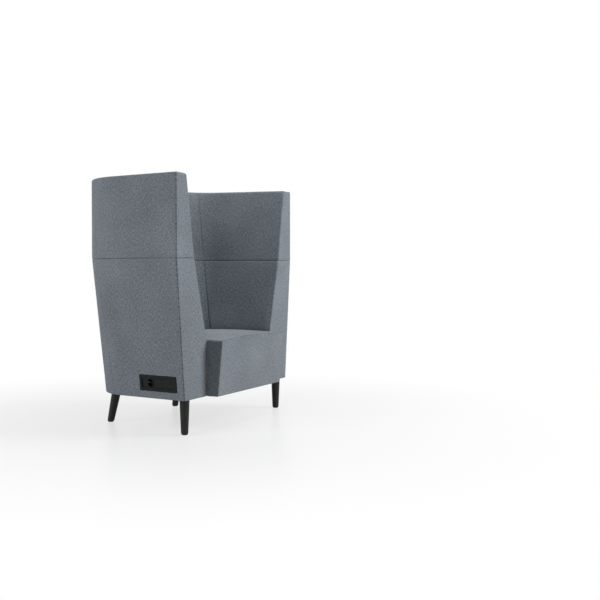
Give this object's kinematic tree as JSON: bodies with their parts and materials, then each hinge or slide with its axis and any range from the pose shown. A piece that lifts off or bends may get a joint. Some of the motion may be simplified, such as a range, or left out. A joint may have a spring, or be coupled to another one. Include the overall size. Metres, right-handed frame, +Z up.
{
  "type": "acoustic high back lounge chair",
  "caption": "Single high back lounge seat with an upholstered wrap-round screen, a crowned seat, tapered legs and a power module in one wall.",
  "frame": {"origin": "on the floor, under the middle of the overall box", "axes": "+Z up, the chair faces -Y, +X to the sitter's left"},
  "size_m": [1.1976, 0.7692, 1.2],
  "materials": {
    "shell_fabric": "matte",
    "inner_fabric": "matte",
    "seat_fabric": "matte",
    "frame_board": "matte",
    "frame_timber": "matte",
    "leg_wood": "satin",
    "webbing": "matte",
    "dust_cloth": "matte",
    "zinc_steel": "satin",
    "glide_plastic": "matte",
    "module_frame": "satin",
    "module_plate": "satin",
    "module_black": "matte",
    "contact_metal": "bright"
  },
  "bodies": {
    "root": {"lower_cover_left": "shell_fabric", "lower_pad_left": "inner_fabric", "lower_panel_left": "frame_board", "lower_cover_right": "shell_fabric", "lower_pad_right": "inner_fabric", "lower_panel_right": "frame_board", "lower_cover_back": "shell_fabric", "lower_pad_back": "inner_fabric", "lower_panel_back": "frame_board", "upper_cover_left": "shell_fabric", "upper_pad_left": "inner_fabric", "upper_panel_left": "frame_board", "upper_cover_right": "shell_fabric", "upper_pad_right": "inner_fabric", "upper_panel_right": "frame_board", "upper_cover_back": "shell_fabric", "upper_pad_back": "inner_fabric", "upper_panel_back": "frame_board", "lower_lining_left": "frame_board", "lower_lining_right": "frame_board", "lower_lining_back": "frame_board", "lower_posts_left": "frame_timber", "lower_posts_right": "frame_timber", "lower_rail": "frame_timber", "upper_rail": "frame_timber", "screen_bolts": "zinc_steel", "screen_inserts": "zinc_steel", "seat_cushion": "seat_fabric", "seat_front_pad": "seat_fabric", "seat_front_panel": "frame_board", "seat_side_rails": "frame_timber", "seat_rear_rail": "frame_timber", "seat_front_rail": "frame_timber", "seat_corner_blocks": "frame_timber", "seat_webbing": "webbing", "base_board": "frame_board", "dust_cover": "dust_cloth", "leg_front_left": "leg_wood", "leg_front_right": "leg_wood", "leg_rear_left": "leg_wood", "leg_rear_right": "leg_wood", "leg_studs": "zinc_steel", "leg_plates": "zinc_steel", "leg_plate_screws": "zinc_steel", "leg_glides": "glide_plastic", "power_bezel": "module_frame", "power_bezel_screws": "zinc_steel", "power_housing": "module_black", "power_mains_plate": "module_plate", "power_socket": "module_black", "power_earth_clips": "contact_metal", "power_data_plate": "module_plate", "power_data_grommet": "module_black", "power_inlet": "module_black"}
  },
  "joints": []
}
